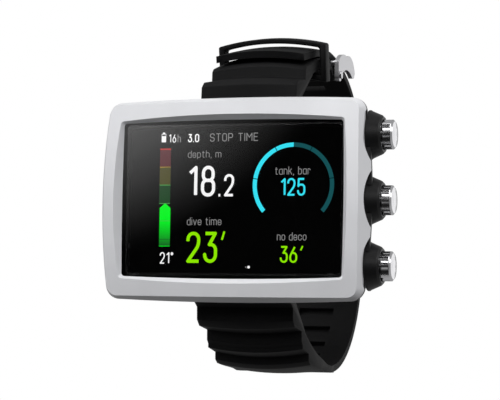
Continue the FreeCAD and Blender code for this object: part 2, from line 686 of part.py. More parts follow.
def mirror(steps):
    """The same outline on the lower side of the case."""
    turned_over = []
    for step in steps:
        if isinstance(step, dict):
            turned_over.append({"by": (step["by"][0], -step["by"][1]),
                                "to": (step["to"][0], -step["to"][1])})
        else:
            turned_over.append((step[0], -step[1]))
    return turned_over


def strap_root():
    """The eye round the spring bar and the first two thick ribs, for the upper side.

    It starts at the eye's inner side, goes round the eye and ends on the second rib.
    """
    y, z = size["pin_plane"].value, size["pin_rise"].value
    eye = size["barrel_radius"].value
    low = math.radians(20)
    inner = (y + eye * math.cos(low), z + eye * math.sin(low))
    outer = (y - eye * math.cos(math.radians(50)), z + eye * math.sin(math.radians(50)))
    return [inner, {"by": (y, z - eye), "to": outer}, (-2.5, 32.2), (-2.5, 36.4), (-0.5, 38.4),
            (6.9, 39.7), (7.0, 43.0), (8.2, 44.2)]


def cut_eye(body, up):
    eye = new_sketch(body, "spring_bar_hole", "YZ_Plane",
                     (size["pin_plane"], size["pin_rise"] * up, 0))
    circles([(0, 0)], size["pin_radius"] + 0.05)(eye)
    pocket(body, eye, 40, "spring_bar_hole_cut", both_sides=True)


def make_upper_strap():
    """The short strap, with ribs at the case and an eye for the buckle's pin."""
    body = new_body("upper_strap")
    y, z = size["buckle_pin_y"].value, size["buckle_pin_z"].value
    eye = 1.9
    sketch = new_sketch(body, "upper_strap_profile", "YZ_Plane")
    top, under = 61.25, 57.6
    draw_path(sketch, strap_root() + [
        ring_point(top, BEND + 2.0),
        {"by": ring_point(top, -6), "to": ring_point(top, 0.8)},
        (y - 1.35, z + 1.35),
        {"by": (y + eye, z), "to": (y - 0.6, z - 1.8)},
        ring_point(under, 2.0),
        {"by": ring_point(under, -8), "to": ring_point(under, -19)},
        (5.0, 34.2)])
    pad(body, sketch, size["strap_width"], "upper_strap_pad", both_sides=True)
    cut_eye(body, 1)
    pin = new_sketch(body, "buckle_pin_hole", "YZ_Plane",
                     (size["buckle_pin_y"], size["buckle_pin_z"], 0))
    circles([(0, 0)], 0.85)(pin)
    pocket(body, pin, 40, "buckle_pin_hole_cut", both_sides=True)


def make_lower_strap():
    """The long slotted strap: ribs at the case, round the wrist, through the buckle."""
    body = new_body("lower_strap_band")
    outer, thick = size["back_curve"].value, size["tongue_thickness"].value
    inner = outer - thick
    top, under = size["top_curve"].value, size["top_curve"].value - thick
    low, high = lower_back, upper_back
    tip, _ = along_strap(1000, 0)
    lead = {"outer": (low[0], low[1] - outer), "inner": (low[0], low[1] - inner)}
    ribs = mirror(strap_root()) + [(8.2, -45.4), (15.2, -46.9), (15.3, -49.2), (17.3, -50.5)]
    root = new_sketch(body, "ribbed_profile", "YZ_Plane")
    draw_path(root, ribs + [
        {"by": (30.0, -52.0), "to": lead["outer"]}, lead["inner"],
        {"by": (27.0, -47.6), "to": (12.0, -40.9)}, (4.8, -34.2)])
    pad(body, root, size["strap_width"], "ribbed_pad", both_sides=True)

    start = ring_point(top, BEND)
    slope = math.radians(BEND)
    step = (-math.cos(slope), math.sin(slope))
    tip_top = (start[0] + TIP_LENGTH * step[0], start[1] + TIP_LENGTH * step[1])
    under_start = ring_point(under, BEND)
    tip_under = (under_start[0] + TIP_LENGTH * step[0], under_start[1] + TIP_LENGTH * step[1])
    tongue = new_sketch(body, "tongue_profile", "YZ_Plane")
    draw_path(tongue, [
        lead["outer"],
        {"by": ring_point(outer, 135, low), "to": (low[0] + outer, low[1])},
        (high[0] + outer, high[1]),
        {"by": ring_point(outer, 57, high), "to": ring_point(top, TURN)},
        {"by": ring_point(top, 5), "to": start},
        tip_top, tip_under, under_start,
        {"by": ring_point(under, 5), "to": ring_point(under, TURN)},
        {"by": ring_point(inner, 57, high), "to": (high[0] + inner, high[1])},
        (low[0] + inner, low[1]),
        {"by": ring_point(inner, 135, low), "to": lead["inner"]}])
    pad(body, tongue, size["tongue_width"], "tongue_pad", both_sides=True)
    cut_eye(body, -1)

    # the buckle's slot lies over its fixed bar; the others step away from it both ways
    bar = (size["bar_y"].value, size["bar_z"].value)
    turn = math.degrees(math.atan2(bar[0] - size["top_centre_y"].value,
                                   bar[1] - size["top_centre_z"].value))
    middle, top_middle = outer - thick / 2, top - thick / 2
    at_bar = (middle * math.pi / 2 + (high[1] - low[1]) + middle * math.radians(90 - TURN)
              + top_middle * math.radians(TURN - turn))
    pitch = size["slot_pitch"].value
    groove_web = 0.7
    cutters = []
    for number in range(-18, 3):
        (y, z), angle = along_strap(at_bar + number * pitch, thick / 2)
        cutter = document.addObject("Part::Box", f"slot_cutter_{number + 19}")
        bind(cutter, "Length", size["slot_width"])
        bind(cutter, "Width", size["slot_length"])
        bind(cutter, "Height", 6)
        # far from the buckle the slots are blind grooves, which leave a thin web outside
        start_depth = -3.0 if number > -8 else thick / 2 - groove_web - 6.0
        lean = FreeCAD.Rotation(FreeCAD.Vector(1, 0, 0), -angle - 90)
        corner = lean.multVec(FreeCAD.Vector(
            -size["slot_width"].value / 2, -size["slot_length"].value / 2, start_depth))
        cutter.Placement = FreeCAD.Placement(FreeCAD.Vector(0, y, z) + corner, lean)
        cutters.append(cutter)
    slots = document.addObject("Part::Compound", "slot_cutters")
    slots.Links = cutters
    strap = document.addObject("Part::Cut", "lower_strap")
    strap.Label = "lower_strap"
    strap.Base, strap.Tool = body, slots


def make_spring_bars():
    """The two bars that hold the strap ends, with thinner tips in the lugs."""
    for name, up in (("top", 1), ("bottom", -1)):
        body = new_body(f"spring_bar_{name}")
        sketch = new_sketch(body, f"bar_profile_{name}", "XY_Plane",
                            (0, size["pin_plane"], size["pin_rise"] * up))
        draw_path(sketch, [(-18.0, 0), (-18.0, 0.6), (-15.6, 0.6), (-15.6, size["pin_radius"]),
                           (15.6, size["pin_radius"]), (15.6, 0.6), (18.0, 0.6), (18.0, 0)])
        spin(body, sketch, f"bar_turned_{name}")


# ---------------------------------------------------------------- buckle and keeper
far_bar_radius = size["top_curve"].value + 1.15
far_bar = (size["far_bar_y"].value, size["top_centre_z"].value + math.sqrt(
    far_bar_radius ** 2 - (size["far_bar_y"].value - size["top_centre_y"].value) ** 2))


def make_buckle():
    """Two arched ears joined by a near bar and a far bar, a pin, and a wide prong."""
    body = new_body("buckle_frame")
    outline = [
        (39.6, 49.6), {"by": (43.4, 52.2), "to": (50.0, 52.6)},
        {"by": (58.4, 51.3), "to": (60.3, 48.4)}, (59.0, 46.6), (57.0, 46.4),
        {"by": (50.5, 48.2), "to": (43.6, 45.6)}, (42.9, 44.2),
        {"by": (41.1, 43.3), "to": (39.6, 44.6)}]
    for name, side in (("left", -1), ("right", 1)):
        ear = new_sketch(body, f"ear_{name}", "YZ_Plane",
                         (0, 0, (size["ear_inside"] + size["ear_thickness"] / 2) * side))
        draw_path(ear, outline)
        pad(body, ear, size["ear_thickness"], f"ear_pad_{name}", both_sides=True)
    for name, spot in (("near", (size["bar_y"], size["bar_z"])), ("far", far_bar)):
        bar = new_sketch(body, f"{name}_bar_outline", "YZ_Plane")
        circles([spot], size["bar_radius"])(bar)
        pad(body, bar, size["ear_inside"] * 2 + size["ear_thickness"], f"{name}_bar",
            both_sides=True)
    hole = new_sketch(body, "pin_hole_outline", "YZ_Plane")
    circles([(size["buckle_pin_y"], size["buckle_pin_z"])], 0.85)(hole)
    pocket(body, hole, 50, "pin_hole", both_sides=True)

    rod = new_body("buckle_pin")
    profile = new_sketch(rod, "buckle_pin_profile", "XY_Plane",
                         (0, size["buckle_pin_y"], size["buckle_pin_z"]))
    draw_path(profile, [(-18.1, 0), (-18.1, 1.2), (-17.5, 1.2), (-17.5, 0.8), (17.5, 0.8),
                        (17.5, 1.2), (18.1, 1.2), (18.1, 0)])
    spin(rod, profile, "buckle_pin_turned")

    prong = new_body("buckle_prong")
    bar = (size["bar_y"].value, size["bar_z"].value)
    top = size["top_curve"].value
    lean = math.degrees(math.atan2(bar[0] - size["top_centre_y"].value,
                                   bar[1] - size["top_centre_z"].value))
    level = math.hypot(bar[0] - size["top_centre_y"].value, bar[1] - size["top_centre_z"].value)

    def local(step, rise):
        """A point by its step along the strap and its rise from the near bar's middle."""
        turn = math.radians(lean)
        return (bar[0] + step * math.cos(turn) + rise * math.sin(turn),
                bar[1] - step * math.sin(turn) + rise * math.cos(turn))

    neck, thick = 0.4, size["prong_thickness"].value
    over = top - level + 0.25
    tip_low, tip_high = ring_point(top + 2.15, 20.8), ring_point(top + 2.95, 20.8)
    side = new_sketch(prong, "prong_profile", "YZ_Plane")
    draw_path(side, [
        local(neck, 0.95), local(neck, over + thick), ring_point(top + 2.9, 14), tip_high,
        tip_low, ring_point(top + 2.1, 14), local(neck + thick, over), local(neck + thick, 0.95)])
    pad(prong, side, size["prong_width"], "prong_plate", both_sides=True)
    curl = new_sketch(prong, "prong_curl_outline", "YZ_Plane")
    circles([bar], 1.32)(curl)
    pad(prong, curl, size["prong_width"], "prong_curl", both_sides=True)
    bore = new_sketch(prong, "prong_bore_outline", "YZ_Plane")
    circles([(size["bar_y"], size["bar_z"])], size["bar_radius"] + 0.05)(bore)
    pocket(prong, bore, 20, "prong_bore", both_sides=True)


def make_keeper():
    """The free loop that holds the tongue down; it slides along the strap."""
    body = new_body("keeper")
    thick = size["keeper_thickness"].value
    turn = -size["keeper_angle"].value
    inside = (56.3, 65.0)
    half = size["keeper_length"].value / 2

    def local(step, radius):
        middle = ring_point(radius, turn)
        slope = math.radians(turn)
        return middle[0] + step * math.cos(slope), middle[1] - step * math.sin(slope)
    side = new_sketch(body, "keeper_profile", "YZ_Plane")
    draw_path(side, [local(-half, inside[0] - thick), local(half, inside[0] - thick),
                     local(half, inside[1] + 1.7), local(-half, inside[1] + 1.7)])
    pad(body, side, 36.0, "keeper_block", both_sides=True)
    gap = new_sketch(body, "keeper_opening", "YZ_Plane")
    draw_path(gap, [local(-half - 3, inside[0]), local(half + 3, inside[0]),
                    local(half + 3, inside[1]), local(-half - 3, inside[1])])
    pocket(body, gap, 31.9, "keeper_through", both_sides=True)


# ---------------------------------------------------------------- build and write
make_bezel()
make_glass()
make_case()
make_back()
make_inside()
for where, number in (("top", 1), ("middle", 0), ("bottom", -1)):
    make_button(where, number)
make_spring_bars()
make_upper_strap()
make_lower_strap()
make_buckle()
make_keeper()
document.recompute()

for item in document.Objects:
    if "Invalid" in item.State or "Error" in item.State:
        raise RuntimeError(f"{item.Name} failed: {item.State}")

pieces = [item for item in document.Objects
          if (item.TypeId == "PartDesign::Body" and item.Label != "lower_strap_band")
          or item.TypeId in ("Part::Torus", "Part::Sweep", "Part::Cut")]
for piece in pieces:
    if piece.Shape.isNull() or not piece.Shape.isValid():
        raise RuntimeError(f"{piece.Label} has no valid shape")
    piece.Shape.exportStep(f"parts/{piece.Label}.step")
print(f"wrote {len(pieces)} parts")
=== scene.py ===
# %% [markdown]
# A wrist dive computer: a wide white-framed case with a black glass, three metal push
# buttons in black collars down its right side, and a ribbed rubber strap with a steel
# buckle. The drawing office hands over the finished frame with every piece in its place,
# so this lesson only adds what the eye sees: finishes, the lit display and the soft parts.

# %% Load the frame
import bmesh
import bpy
import json
import math
from mathutils import Matrix, Vector

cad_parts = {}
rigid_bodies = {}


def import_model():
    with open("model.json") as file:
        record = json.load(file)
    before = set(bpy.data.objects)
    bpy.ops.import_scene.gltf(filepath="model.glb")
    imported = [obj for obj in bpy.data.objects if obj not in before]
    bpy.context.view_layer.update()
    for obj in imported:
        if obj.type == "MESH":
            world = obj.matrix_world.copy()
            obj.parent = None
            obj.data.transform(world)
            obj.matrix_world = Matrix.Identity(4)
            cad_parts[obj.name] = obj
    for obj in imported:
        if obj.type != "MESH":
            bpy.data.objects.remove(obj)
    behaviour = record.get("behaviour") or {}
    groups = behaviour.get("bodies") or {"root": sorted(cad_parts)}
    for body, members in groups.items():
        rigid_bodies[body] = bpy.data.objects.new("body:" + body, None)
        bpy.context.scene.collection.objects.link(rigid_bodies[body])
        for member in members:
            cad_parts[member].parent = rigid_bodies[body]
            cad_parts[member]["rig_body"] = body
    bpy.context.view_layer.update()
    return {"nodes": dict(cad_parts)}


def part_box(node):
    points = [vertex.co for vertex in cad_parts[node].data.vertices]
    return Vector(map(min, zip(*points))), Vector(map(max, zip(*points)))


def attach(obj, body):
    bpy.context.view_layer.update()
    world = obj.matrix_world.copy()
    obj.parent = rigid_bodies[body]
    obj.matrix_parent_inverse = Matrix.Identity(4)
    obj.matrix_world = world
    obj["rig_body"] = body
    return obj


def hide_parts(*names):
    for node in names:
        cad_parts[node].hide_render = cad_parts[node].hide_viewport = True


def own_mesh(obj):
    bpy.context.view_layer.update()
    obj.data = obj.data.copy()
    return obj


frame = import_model()
nodes = frame["nodes"]
scene = bpy.context.scene

# %% [markdown]
# The camera is a long lens about half a metre away. It stands to the right of the case and
# a little under its middle, and it is rolled by about a degree. Turning it in this order,
# first round, then down, then rolled, keeps each number easy to change on its own.

# %% Camera
TURN, RISE, ROLL = math.radians(18.094), math.radians(-4.177), math.radians(0.983)
DISTANCE, SHIFT_RIGHT, SHIFT_UP = 0.53833, 0.0058, -0.00029
glass_middle = Vector((0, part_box("crystal")[0].y, 0))
back = Vector((math.sin(TURN) * math.cos(RISE), -math.cos(TURN) * math.cos(RISE), math.sin(RISE)))
right = Vector((math.cos(TURN), math.sin(TURN), 0))
up = back.cross(right)
rolled_right = math.cos(ROLL) * right + math.sin(ROLL) * up
rolled_up = math.cos(ROLL) * up - math.sin(ROLL) * right
camera = bpy.data.objects.new("camera", bpy.data.cameras.new("camera"))
camera.data.lens = 129.22
camera.data.clip_start = 0.01
axes = Matrix((rolled_right, rolled_up, back)).transposed()
spot = glass_middle + DISTANCE * back + SHIFT_RIGHT * rolled_right + SHIFT_UP * rolled_up
camera.matrix_world = Matrix.Translation(spot) @ axes.to_4x4()
scene.collection.objects.link(camera)
scene.camera = camera
scene.view_settings.view_transform = "Standard"
print("camera at", [round(value, 3) for value in spot])

# %% [markdown]
# A studio for small products has a white surround that lights everything evenly and a few large soft
# boxes that draw the highlights. The surround here is bright to the lens and to matte
# surfaces but dim to shiny ones, as if black cards stood out of shot, so the glass stays
# deep black except where a soft box shows in its upper left corner.

# %% Surround
world = bpy.data.worlds.new("studio")
scene.world = world
world.use_nodes = True
tree = world.node_tree
sky = tree.nodes["Background"]
sky.inputs["Color"].default_value = (1, 1, 1, 1)
path = tree.nodes.new("ShaderNodeLightPath")
aim = tree.nodes.new("ShaderNodeTexCoord")
parts = tree.nodes.new("ShaderNodeSeparateXYZ")
tree.links.new(aim.outputs["Generated"], parts.inputs["Vector"])


def ramp(axis, start, end, low, high):
    """A strength that rises smoothly from one direction to the opposite one."""
    rise = tree.nodes.new("ShaderNodeMapRange")
    rise.interpolation_type = "SMOOTHSTEP"
    rise.inputs["From Min"].default_value = start
    rise.inputs["From Max"].default_value = end
    rise.inputs["To Min"].default_value = low
    rise.inputs["To Max"].default_value = high
    tree.links.new(parts.outputs[axis], rise.inputs["Value"])
    return rise.outputs["Result"]


matte_part = ramp("Z", -0.9, 1.0, 0.03, 0.72)
shiny_part = ramp("Y", -0.75, 0.2, 0.01, 0.38)
choose = tree.nodes.new("ShaderNodeMix")
for_lens = tree.nodes.new("ShaderNodeMath")
for_lens.operation = "MAXIMUM"
tree.links.new(path.outputs["Is Glossy Ray"], choose.inputs["Factor"])
tree.links.new(matte_part, choose.inputs["A"])
tree.links.new(shiny_part, choose.inputs["B"])
tree.links.new(choose.outputs["Result"], for_lens.inputs[0])
tree.links.new(path.outputs["Is Camera Ray"], for_lens.inputs[1])
tree.links.new(for_lens.outputs["Value"], sky.inputs["Strength"])
print("surround ready")

# %% [markdown]
# A soft box is a large area light. One helper places them all, because what changes from one
# to the next is only where it stands, how large it is and how strong it is.

# %% Soft boxes
def soft_box(name, place, aim, width, height, power):
    """A large area light at one place, turned to face another, and never seen itself."""
    light = bpy.data.objects.new(name, bpy.data.lights.new(name, "AREA"))
    light.data.shape = "RECTANGLE"
    light.data.size, light.data.size_y = width, height
    light.data.energy = power
    facing = (Vector(place) - Vector(aim)).to_track_quat("Z", "Y")
    light.matrix_world = Matrix.Translation(place) @ facing.to_matrix().to_4x4()
    light.visible_camera = False
    scene.collection.objects.link(light)
    return light


soft_box("overhead_box", (-0.15, -0.35, 0.85), (0, 0, 0), 0.7, 0.5, 3.2)
soft_box("front_box", (0.25, -1.1, 0.50), (0, 0, 0), 0.8, 0.5, 4.0)
soft_box("left_box", (-0.85, -0.35, 0.35), (0, 0, 0), 0.3, 0.6, 1.2)
soft_box("right_box", (0.70, -0.10, 0.45), (0.03, 0, 0), 0.30, 0.5, 1.3)
soft_box("back_box", (0.45, 1.0, 0.12), (0, 0, 0), 0.5, 0.5, 0.5)

# %% [markdown]
# One more soft box is there only for the glass, which is a mirror to whatever stands before
# it. Its light fades from the middle out, so the sheen on the glass has no hard outline.

# %% Glass card
card = soft_box("glass_card", (-0.50, -0.90, 0.27), (0, -0.0175, 0.0), 0.62, 0.54, 1.4)
card.data.use_nodes = True
card_tree = card.data.node_tree
place = card_tree.nodes.new("ShaderNodeNewGeometry")
from_middle = card_tree.nodes.new("ShaderNodeVectorMath")
from_middle.operation = "DISTANCE"
from_middle.inputs[1].default_value = (0.5, 0.5, 0)
fade = card_tree.nodes.new("ShaderNodeMapRange")
fade.interpolation_type = "SMOOTHSTEP"
fade.inputs["From Min"].default_value = 0.5
fade.inputs["From Max"].default_value = 0.0
fade.inputs["To Min"].default_value = 0.0
fade.inputs["To Max"].default_value = 3.0
card_tree.links.new(place.outputs["Parametric"], from_middle.inputs[0])
card_tree.links.new(from_middle.outputs["Value"], fade.inputs["Value"])
card_tree.links.new(fade.outputs["Result"], card_tree.nodes["Emission"].inputs["Strength"])
print("glass card fades to its edges")

# %% [markdown]
# The floor is a plain pale disc well under the piece. It isn't seen by shiny surfaces and
# doesn't light the undersides, so a black strap stays black.

# %% Floor
floor_mesh = bmesh.new()
bmesh.ops.create_circle(floor_mesh, cap_ends=True, segments=96, radius=0.9,
                        matrix=Matrix.Translation((0, 0.04, -0.12)))
floor_data = bpy.data.meshes.new("floor")
floor_mesh.to_mesh(floor_data)
floor_mesh.free()
floor = bpy.data.objects.new("floor", floor_data)
scene.collection.objects.link(floor)
floor.visible_diffuse = False    # so that it doesn't light the undersides
floor.visible_glossy = False
print("floor is a disc", round(floor.dimensions.x, 1), "m across")

# %% [markdown]
# Every finish starts from the same shader and adds what makes it real: a fine grain in
# the height, and a slow drift in the roughness, both worked out from the object's own
# coordinates so that they stay put when a piece moves.

# %% Finishes
COAT_ROUGHNESS, SMOOTHEST = 0.15, 0.02
DRIFT_SCALE, DRIFT_DETAIL, GRAIN_DETAIL = 60.0, 3.0, 2.0
DARKEST_SHARE, GRAIN_HEIGHT = 0.93, 0.0001


def finish(name, colour, roughness, metallic=0.0, grain=0.0, grain_size=3000.0, drift=0.06,
           coat=0.0, specular=0.5):
    """A plastic, rubber or metal with a fine grain and a little unevenness."""
    material = bpy.data.materials.new(name)
    material.use_nodes = True
    tree = material.node_tree
    shader = tree.nodes["Principled BSDF"]
    shader.inputs["Metallic"].default_value = metallic
    shader.inputs["Specular IOR Level"].default_value = specular
    shader.inputs["Coat Weight"].default_value = coat
    shader.inputs["Coat Roughness"].default_value = COAT_ROUGHNESS
    place = tree.nodes.new("ShaderNodeTexCoord")
    cloud = tree.nodes.new("ShaderNodeTexNoise")
    cloud.inputs["Scale"].default_value = DRIFT_SCALE
    cloud.inputs["Detail"].default_value = DRIFT_DETAIL
    tree.links.new(place.outputs["Object"], cloud.inputs["Vector"])
    uneven = tree.nodes.new("ShaderNodeMapRange")
    uneven.inputs["To Min"].default_value = max(SMOOTHEST, roughness - drift)
    uneven.inputs["To Max"].default_value = min(1.0, roughness + drift)
    tree.links.new(cloud.outputs["Fac"], uneven.inputs["Value"])
    tree.links.new(uneven.outputs["Result"], shader.inputs["Roughness"])
    shade = tree.nodes.new("ShaderNodeValToRGB")
    shade.color_ramp.elements[0].position = 0.3
    shade.color_ramp.elements[1].position = 0.7
    shade.color_ramp.elements[0].color = (*[part * DARKEST_SHARE for part in colour], 1)
    shade.color_ramp.elements[1].color = (*colour, 1)
    tree.links.new(cloud.outputs["Fac"], shade.inputs["Fac"])
    tree.links.new(shade.outputs["Color"], shader.inputs["Base Color"])
    if grain:
        speck = tree.nodes.new("ShaderNodeTexNoise")
        speck.inputs["Scale"].default_value = grain_size
        speck.inputs["Detail"].default_value = GRAIN_DETAIL
        tree.links.new(place.outputs["Object"], speck.inputs["Vector"])
        bump = tree.nodes.new("ShaderNodeBump")
        bump.inputs["Strength"].default_value = grain
        bump.inputs["Distance"].default_value = GRAIN_HEIGHT
        tree.links.new(speck.outputs["Fac"], bump.inputs["Height"])
        tree.links.new(bump.outputs["Normal"], shader.inputs["Normal"])
    return material


FINISHES = {
    "bezel_white": finish("bezel_white", (0.76, 0.765, 0.79), 0.36, grain=0.25, coat=0.12,
                          specular=0.4),
    "seal_rubber": finish("seal_rubber", (0.02, 0.02, 0.02), 0.6, grain=0.3),
    "case_black": finish("case_black", (0.005, 0.005, 0.0055), 0.45, grain=0.35, specular=0.35),
    "cover_black": finish("cover_black", (0.014, 0.014, 0.015), 0.5, grain=0.4),
    "screw_steel": finish("screw_steel", (0.55, 0.55, 0.57), 0.28, metallic=1.0),
    "sensor_steel": finish("sensor_steel", (0.5, 0.5, 0.52), 0.35, metallic=1.0),
    "contact_brass": finish("contact_brass", (0.85, 0.62, 0.28), 0.25, metallic=1.0),
    "insulator": finish("insulator", (0.05, 0.05, 0.055), 0.5),
    "display": finish("display", (0.0008, 0.0008, 0.0008), 0.6, specular=0.0),
    "chassis": finish("chassis", (0.0008, 0.0008, 0.0008), 0.6, specular=0.0),
    "circuit_board": finish("circuit_board", (0.02, 0.12, 0.05), 0.45),
    "chip_black": finish("chip_black", (0.02, 0.02, 0.022), 0.4),
    "battery_wrap": finish("battery_wrap", (0.30, 0.34, 0.40), 0.35),
    "foam": finish("foam", (0.06, 0.06, 0.065), 0.9, grain=0.8, grain_size=1200.0),
    "ferrite": finish("ferrite", (0.06, 0.055, 0.05), 0.5),
    "pin_steel": finish("pin_steel", (0.6, 0.6, 0.62), 0.22, metallic=1.0),
    "spring_steel": finish("spring_steel", (0.6, 0.6, 0.62), 0.3, metallic=1.0),
    "strap_rubber": finish("strap_rubber", (0.0040, 0.0040, 0.0044), 0.58, grain=0.45,
                           grain_size=2200.0, specular=0.14),
    "keeper_rubber": finish("keeper_rubber", (0.0040, 0.0040, 0.0044), 0.52, grain=0.35,
                            grain_size=2200.0, specular=0.16),
    "buckle_steel": finish("buckle_steel", (0.66, 0.66, 0.68), 0.34, metallic=1.0, grain=0.1),
    "guard_black": finish("guard_black", (0.004, 0.004, 0.0045), 0.42, grain=0.3, specular=0.35),
    "button_metal": finish("button_metal", (0.80, 0.80, 0.82), 0.16, metallic=1.0),
}
pale = finish("pale_floor", (0.86, 0.86, 0.86), 0.85, drift=0.02)
floor.data.materials.append(pale)
print("finishes:", len(FINISHES))

# %% [markdown]
# The cover glass is clear and thick, so it is a transmission shader with no roughness. Any
# roughness there would blur the small figures behind it.

# %% Glass
glass = bpy.data.materials.new("glass")
glass.use_nodes = True
glass_shader = glass.node_tree.nodes["Principled BSDF"]
glass_shader.inputs["Base Color"].default_value = (1, 1, 1, 1)
glass_shader.inputs["Roughness"].default_value = 0.0
glass_shader.inputs["IOR"].default_value = 1.5
glass_shader.inputs["Transmission Weight"].default_value = 1.0
FINISHES["glass"] = glass
slot_of = {name: nodes[name].data.materials[0].name.split(".")[0]
           for name in nodes if nodes[name].data.materials}
print("slots found:", sorted(set(slot_of.values())))

# %% [markdown]
# Each piece of the frame carries a slot name that says what it is made of. Giving every
# slot one finish means that no piece has to be dressed by hand.

# %% Give each frame piece its finish
for name, slot in slot_of.items():
    if slot in FINISHES:
        nodes[name].data.materials[0] = FINISHES[slot]
print("pieces with no finish:", [name for name in nodes if slot_of.get(name) not in FINISHES])

# %% [markdown]
# The display shows a dive in progress. Its figures are narrow strokes of one width with
# rounded corners, so each sign is kept as a few pen strokes on a grid one wide and two
# high. A third number on a corner is how far back the curve round it starts. Strokes are
# easier to keep even than outlines, because the pen's width is set once for each line.

# %% Pen strokes of each sign
BOWL = [(1, 0), (0, 0, .42), (0, 1.35, .42), (1, 1.35)]
BOWL_BACK = [(0, 0), (1, 0, .42), (1, 1.35, .42), (0, 1.35)]
SIGNS = {
    "0": [[(.5, 0), (0, 0, .48), (0, 2, .48), (1, 2, .48), (1, 0, .48), (.5, 0)]],
    "1": [[(.1, 1.6), (.62, 2), (.62, 0)]],
    "2": [[(0, 1.45), (0, 2, .45), (1, 2, .45), (1, 1.15, .3), (.02, 0), (1.02, 0)]],
    "3": [[(.05, 2), (.95, 2), (.42, 1.2), (1, 1.2, .42), (1, 0, .48), (0, 0, .48), (0, .5)]],
    "5": [[(.95, 2), (.1, 2), (.04, 1.1), (.25, 1.28, .1), (1, 1.28, .42), (1, 0, .48),
           (0, 0, .48), (0, .5)]],
    "6": [[(.72, 2), (0, .8, .2), (0, 0, .48), (1, 0, .48), (1, 1.2, .48), (.22, 1.2)]],
    "8": [[(.5, 0), (0, 0, .45), (0, 1.06, .35), (1, 1.06, .35), (1, 0, .45), (.5, 0)],
          [(.5, 1.06), (.06, 1.06, .35), (.06, 2, .42), (.94, 2, .42), (.94, 1.06, .35),
           (.5, 1.06)]],
    ".": [[(0, 0), (.24, 0)]],
    ",": [[(.12, .12), (0, -.36)]],
    "'": [[(.3, 2.08), (.06, 1.5)]],
    "*": [[(.3, 1.62), (.08, 1.62, .2), (.08, 2, .2), (.46, 2, .2), (.46, 1.62, .2), (.3, 1.62)]],
    "a": [BOWL, [(1, 1.42), (1, -.06)]], "b": [BOWL_BACK, [(0, 2), (0, -.06)]],
    "c": [[(1, .98), (1, 1.35, .42), (0, 1.35, .42), (0, 0, .42), (1, 0, .42), (1, .38)]],
    "d": [BOWL, [(1, 2), (1, -.06)]],
    "e": [[(.05, .68), (1, .68), (1, 1.35, .42), (0, 1.35, .42), (0, 0, .42), (1, 0, .42),
           (1, .3)]],
    "h": [[(0, 2), (0, -.06)], [(0, 1.35), (1, 1.35, .42), (1, -.06)]],
    "i": [[(0, 1.42), (0, -.06)], [(0, 2), (0, 1.8)]],
    "k": [[(0, 2), (0, -.06)], [(.92, 1.42), (.05, .6)], [(.36, .9), (1, -.06)]],
    "m": [[(0, 1.42), (0, -.06)], [(0, 1.35), (.85, 1.35, .38), (.85, -.06)],
          [(.85, 1.35), (1.7, 1.35, .38), (1.7, -.06)]],
    "n": [[(0, 1.42), (0, -.06)], [(0, 1.35), (1, 1.35, .42), (1, -.06)]],
    "o": [[(.5, 0), (0, 0, .42), (0, 1.35, .42), (1, 1.35, .42), (1, 0, .42), (.5, 0)]],
    "p": [BOWL_BACK, [(0, 1.42), (0, -.5)]],
    "r": [[(0, 1.42), (0, -.06)], [(0, 1.35), (.7, 1.35, .3), (.7, 1.1)]],
    "t": [[(.3, 1.85), (.3, 0, .25), (.8, 0)], [(0, 1.35), (.78, 1.35)]],
    "v": [[(0, 1.42), (.5, -.04), (1, 1.42)]],
    "E": [[(1, 2), (0, 2), (0, 0), (1, 0)], [(0, 1.05), (.85, 1.05)]],
    "I": [[(0, 2.06), (0, -.06)]],
    "M": [[(0, -.06), (0, 2), (.65, .9), (1.3, 2), (1.3, -.06)]],
    "O": [[(.5, 0), (0, 0, .45), (0, 2, .45), (1, 2, .45), (1, 0, .45), (.5, 0)]],
    "P": [[(0, -.06), (0, 2), (1, 2, .42), (1, .9, .42), (0, .9)]],
    "S": [[(1, 1.55), (1, 2, .42), (0, 2, .42), (0, 1.05, .42), (1, .95, .42), (1, 0, .42),
           (0, 0, .42), (0, .45)]],
    "T": [[(0, 2), (1.1, 2)], [(.55, 2), (.55, -.06)]],
    " ": [],
}
print("signs:", len(SIGNS))

# %% [markdown]
# A line of signs is drawn by walking a pen along the strokes. Each straight run is one
# stretched quad and each bend has a small disc, so that the joints are round.

# %% Draw a stroke and a line of signs
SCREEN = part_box("display_panel")[0].y - 0.00006
MM = 0.001
LAYER = 0.00002    # how far one flat shape lies in front of another


def soften(corners):
    """The same path with an arc of small steps at each corner that has a third number."""
    points = []
    for index, corner in enumerate(corners):
        here = Vector(corner[:2])
        if len(corner) == 2:
            points.append(here)
            continue
        before = (Vector(corners[index - 1][:2]) - here).normalized() * corner[2]
        after = (Vector(corners[index + 1][:2]) - here).normalized() * corner[2]
        for step in range(7):
            along = math.pi / 2 * step / 6
            points.append(here + before * (1 - math.sin(along)) + after * (1 - math.cos(along)))
    return points


def pen_line(shape, points, width):
    """A flat line of one width on the screen, with round joints and square ends."""
    for start, end in zip(points, points[1:]):
        run = end - start
        middle = (start + end) / 2
        lie = Matrix.Translation((middle.x, SCREEN, middle.y))
        lie @= Matrix.Rotation(-math.atan2(run.y, run.x), 4, "Y")
        lie @= Matrix.Rotation(math.pi / 2, 4, "X")
        lie @= Matrix.Diagonal((max(run.length, 1e-7), width, 1, 1))
        bmesh.ops.create_grid(shape, x_segments=1, y_segments=1, size=0.5, matrix=lie)
    for joint in points[1:-1]:
        lie = Matrix.Translation((joint.x, SCREEN, joint.y)) @ Matrix.Rotation(math.pi / 2, 4, "X")
        bmesh.ops.create_circle(shape, cap_ends=True, segments=12, radius=width / 2, matrix=lie)


def screen_piece(name, shape, material):
    """Turn a finished flat shape into a piece of the display."""
    data = bpy.data.meshes.new(name)
    shape.to_mesh(data)
    shape.free()
    piece = bpy.data.objects.new(name, data)
    piece.data.materials.append(material)
    scene.collection.objects.link(piece)
    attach(piece, "case")
    return piece


